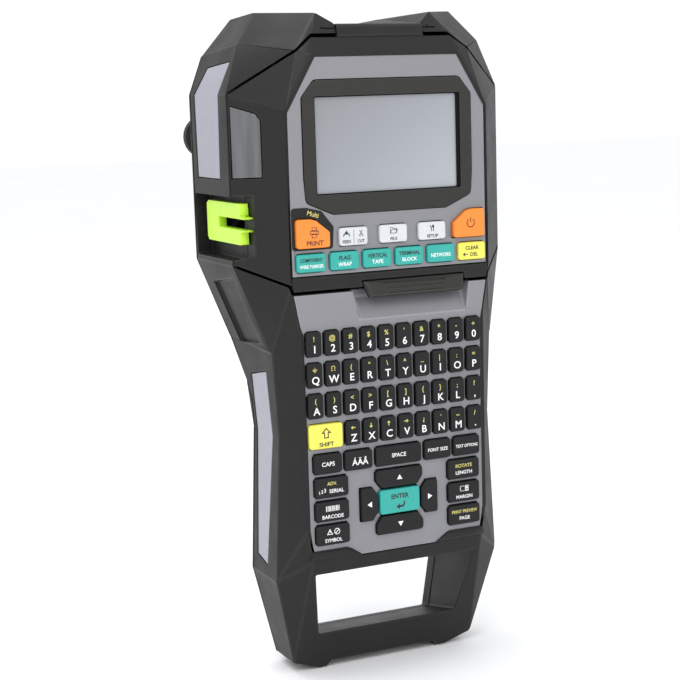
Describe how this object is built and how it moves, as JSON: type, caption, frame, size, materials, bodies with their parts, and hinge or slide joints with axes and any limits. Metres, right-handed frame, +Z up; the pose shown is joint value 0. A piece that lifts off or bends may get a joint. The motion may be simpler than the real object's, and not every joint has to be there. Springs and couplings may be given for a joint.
{
  "type": "handheld label maker",
  "caption": "Rugged handheld label maker with a full keyboard, a hinged upper lid carrying the display, a side label exit and a carrying-loop handle.",
  "frame": {"origin": "centre of the bounding box's bottom face, at the two feet's level, with the label maker standing upright on its handle end", "axes": "+Z up along the long axis from the handle end to the hinge end, +X to the right of someone facing the keys, -Y out of the front, where the keys and display are"},
  "size_m": [0.137, 0.0846, 0.3052],
  "materials": {
    "black_plastic": "fine-grained moulded plastic",
    "silver_plastic": "satin paint",
    "olive_plastic": "fine-grained moulded plastic",
    "display_clear": "clear window over a grey-blue liquid crystal display",
    "key_black": "matt silicone",
    "key_orange": "matt silicone",
    "key_white": "matt silicone",
    "key_teal": "matt silicone",
    "key_yellow": "matt silicone",
    "lime_plastic": "glossy",
    "reflective": "pearly reflective strip",
    "smoke_clear": "smoke-tinted clear plastic",
    "steel": "ground steel",
    "soft_rubber": "matt",
    "circuit_board": "solder-masked board",
    "battery_wrap": "shrink-wrapped cells",
    "grey_plastic": "moulded"
  },
  "bodies": {
    "casing": {"housing": "black_plastic", "rear_cover": "black_plastic", "keyboard_panel": "silver_plastic", "keypad_board": "circuit_board", "main_board": "circuit_board", "battery_pack": "battery_wrap", "port_cover": "soft_rubber", "reflective_strip_upper_right": "reflective", "reflective_strip_upper_left": "reflective", "reflective_strip_lower_right": "reflective", "reflective_strip_lower_left": "reflective", "rear_foot_right": "soft_rubber", "rear_foot_left": "soft_rubber", "hinge_pin": "steel", "exit_guide": "lime_plastic", "print_chassis": "grey_plastic", "print_head": "grey_plastic", "feed_motor": "steel", "label_cassette": "grey_plastic"},
    "lid_assembly": {"lid": "black_plastic", "lid_panel": "silver_plastic", "display_bezel": "olive_plastic", "display_lens": "display_clear", "display_board": "circuit_board", "cassette_window": "smoke_clear"},
    "latch": {"latch_tab": "olive_plastic"},
    "platen": {"platen_roller": "soft_rubber", "roller_gear": "grey_plastic"},
    "pinion": {"motor_pinion": "steel"},
    "cutter": {"cutter_blade": "steel"},
    "battery_door": {"battery_door": "black_plastic"},
    "key_print": {"key_print": "key_orange"},
    "key_feed": {"key_feed": "key_white"},
    "key_file": {"key_file": "key_white"},
    "key_setup": {"key_setup": "key_white"},
    "key_power": {"key_power": "key_orange"},
    "key_component": {"key_component": "key_teal"},
    "key_flag": {"key_flag": "key_teal"},
    "key_vertical": {"key_vertical": "key_teal"},
    "key_terminal": {"key_terminal": "key_teal"},
    "key_network": {"key_network": "key_teal"},
    "key_clear": {"key_clear": "key_yellow"},
    "key_shift": {"key_shift": "key_yellow"},
    "key_caps": {"key_caps": "key_black"},
    "key_accents": {"key_accents": "key_black"},
    "key_space": {"key_space": "key_black"},
    "key_font": {"key_font": "key_black"},
    "key_text": {"key_text": "key_black"},
    "key_serial": {"key_serial": "key_black"},
    "key_barcode": {"key_barcode": "key_black"},
    "key_symbol": {"key_symbol": "key_black"},
    "key_rotate": {"key_rotate": "key_black"},
    "key_margin": {"key_margin": "key_black"},
    "key_preview": {"key_preview": "key_black"},
    "key_enter": {"key_enter": "key_teal"},
    "letter_row_1": {"letter_row_1": "key_black"},
    "letter_row_2": {"letter_row_2": "key_black"},
    "letter_row_3": {"letter_row_3": "key_black"},
    "letter_row_4": {"letter_row_4": "key_black"},
    "arrow_pad": {"arrow_pad": "key_black"}
  },
  "joints": [
    {"name": "lid_hinge", "type": "hinge", "parent": "casing", "child": "lid_assembly", "pos_m": [0, -0.0319, 0.296], "axis": [-1, 0, 0], "range_deg": [0, 100]},
    {"name": "latch_pull", "type": "hinge", "parent": "lid_assembly", "child": "latch", "pos_m": [0.0109, -0.0401, 0.1844], "axis": [-1, 0, 0], "range_deg": [0, 10], "stiffness_Nm_per_rad": 0.05, "springref_deg": -5.73},
    {"name": "platen_spin", "type": "hinge", "parent": "casing", "child": "platen", "pos_m": [-0.046, 0.0028, 0.2062], "axis": [0, 1, 0], "continuous": true},
    {"name": "pinion_spin", "type": "hinge", "parent": "casing", "child": "pinion", "pos_m": [-0.03148, 0.023, 0.2062], "axis": [0, 1, 0], "continuous": true},
    {"name": "cutter_slide", "type": "slide", "parent": "casing", "child": "cutter", "axis": [0, 0, -1], "range_m": [0, 0.006], "stiffness_N_per_m": 200, "springref_m": -0.003},
    {"name": "battery_door_hinge", "type": "hinge", "parent": "casing", "child": "battery_door", "pos_m": [0, 0.0045, 0.1142], "axis": [1, 0, 0], "range_deg": [0, 95]},
    {"name": "key_print_press", "type": "slide", "parent": "lid_assembly", "child": "key_print", "axis": [0, 1, 0], "range_m": [0, 0.0012], "stiffness_N_per_m": 300, "springref_m": -0.0005},
    {"name": "key_feed_press", "type": "slide", "parent": "lid_assembly", "child": "key_feed", "axis": [0, 1, 0], "range_m": [0, 0.0012], "stiffness_N_per_m": 300, "springref_m": -0.0005},
    {"name": "key_file_press", "type": "slide", "parent": "lid_assembly", "child": "key_file", "axis": [0, 1, 0], "range_m": [0, 0.0012], "stiffness_N_per_m": 300, "springref_m": -0.0005},
    {"name": "key_setup_press", "type": "slide", "parent": "lid_assembly", "child": "key_setup", "axis": [0, 1, 0], "range_m": [0, 0.0012], "stiffness_N_per_m": 300, "springref_m": -0.0005},
    {"name": "key_power_press", "type": "slide", "parent": "lid_assembly", "child": "key_power", "axis": [0, 1, 0], "range_m": [0, 0.0012], "stiffness_N_per_m": 300, "springref_m": -0.0005},
    {"name": "key_component_press", "type": "slide", "parent": "lid_assembly", "child": "key_component", "axis": [0, 1, 0], "range_m": [0, 0.0012], "stiffness_N_per_m": 300, "springref_m": -0.0005},
    {"name": "key_flag_press", "type": "slide", "parent": "lid_assembly", "child": "key_flag", "axis": [0, 1, 0], "range_m": [0, 0.0012], "stiffness_N_per_m": 300, "springref_m": -0.0005},
    {"name": "key_vertical_press", "type": "slide", "parent": "lid_assembly", "child": "key_vertical", "axis": [0, 1, 0], "range_m": [0, 0.0012], "stiffness_N_per_m": 300, "springref_m": -0.0005},
    {"name": "key_terminal_press", "type": "slide", "parent": "lid_assembly", "child": "key_terminal", "axis": [0, 1, 0], "range_m": [0, 0.0012], "stiffness_N_per_m": 300, "springref_m": -0.0005},
    {"name": "key_network_press", "type": "slide", "parent": "lid_assembly", "child": "key_network", "axis": [0, 1, 0], "range_m": [0, 0.0012], "stiffness_N_per_m": 300, "springref_m": -0.0005},
    {"name": "key_clear_press", "type": "slide", "parent": "lid_assembly", "child": "key_clear", "axis": [0, 1, 0], "range_m": [0, 0.0012], "stiffness_N_per_m": 300, "springref_m": -0.0005},
    {"name": "key_shift_press", "type": "slide", "parent": "casing", "child": "key_shift", "axis": [0, 1, 0], "range_m": [0, 0.0012], "stiffness_N_per_m": 300, "springref_m": -0.0005},
    {"name": "key_caps_press", "type": "slide", "parent": "casing", "child": "key_caps", "axis": [0, 1, 0], "range_m": [0, 0.0012], "stiffness_N_per_m": 300, "springref_m": -0.0005},
    {"name": "key_accents_press", "type": "slide", "parent": "casing", "child": "key_accents", "axis": [0, 1, 0], "range_m": [0, 0.0012], "stiffness_N_per_m": 300, "springref_m": -0.0005},
    {"name": "key_space_press", "type": "slide", "parent": "casing", "child": "key_space", "axis": [0, 1, 0], "range_m": [0, 0.0012], "stiffness_N_per_m": 300, "springref_m": -0.0005},
    {"name": "key_font_press", "type": "slide", "parent": "casing", "child": "key_font", "axis": [0, 1, 0], "range_m": [0, 0.0012], "stiffness_N_per_m": 300, "springref_m": -0.0005},
    {"name": "key_text_press", "type": "slide", "parent": "casing", "child": "key_text", "axis": [0, 1, 0], "range_m": [0, 0.0012], "stiffness_N_per_m": 300, "springref_m": -0.0005},
    {"name": "key_serial_press", "type": "slide", "parent": "casing", "child": "key_serial", "axis": [0, 1, 0], "range_m": [0, 0.0012], "stiffness_N_per_m": 300, "springref_m": -0.0005},
    {"name": "key_barcode_press", "type": "slide", "parent": "casing", "child": "key_barcode", "axis": [0, 1, 0], "range_m": [0, 0.0012], "stiffness_N_per_m": 300, "springref_m": -0.0005},
    {"name": "key_symbol_press", "type": "slide", "parent": "casing", "child": "key_symbol", "axis": [0, 1, 0], "range_m": [0, 0.0012], "stiffness_N_per_m": 300, "springref_m": -0.0005},
    {"name": "key_rotate_press", "type": "slide", "parent": "casing", "child": "key_rotate", "axis": [0, 1, 0], "range_m": [0, 0.0012], "stiffness_N_per_m": 300, "springref_m": -0.0005},
    {"name": "key_margin_press", "type": "slide", "parent": "casing", "child": "key_margin", "axis": [0, 1, 0], "range_m": [0, 0.0012], "stiffness_N_per_m": 300, "springref_m": -0.0005},
    {"name": "key_preview_press", "type": "slide", "parent": "casing", "child": "key_preview", "axis": [0, 1, 0], "range_m": [0, 0.0012], "stiffness_N_per_m": 300, "springref_m": -0.0005},
    {"name": "key_enter_press", "type": "slide", "parent": "casing", "child": "key_enter", "axis": [0, 1, 0], "range_m": [0, 0.0012], "stiffness_N_per_m": 300, "springref_m": -0.0005},
    {"name": "letter_row_1_press", "type": "slide", "parent": "casing", "child": "letter_row_1", "axis": [0, 1, 0], "range_m": [0, 0.0012], "stiffness_N_per_m": 300, "springref_m": -0.0005},
    {"name": "letter_row_2_press", "type": "slide", "parent": "casing", "child": "letter_row_2", "axis": [0, 1, 0], "range_m": [0, 0.0012], "stiffness_N_per_m": 300, "springref_m": -0.0005},
    {"name": "letter_row_3_press", "type": "slide", "parent": "casing", "child": "letter_row_3", "axis": [0, 1, 0], "range_m": [0, 0.0012], "stiffness_N_per_m": 300, "springref_m": -0.0005},
    {"name": "letter_row_4_press", "type": "slide", "parent": "casing", "child": "letter_row_4", "axis": [0, 1, 0], "range_m": [0, 0.0012], "stiffness_N_per_m": 300, "springref_m": -0.0005},
    {"name": "arrow_pad_press", "type": "slide", "parent": "casing", "child": "arrow_pad", "axis": [0, 1, 0], "range_m": [0, 0.0012], "stiffness_N_per_m": 300, "springref_m": -0.0005}
  ],
  "couplings": [
    {"joint": "pinion_spin", "follows": "platen_spin", "ratio": -2}
  ]
}
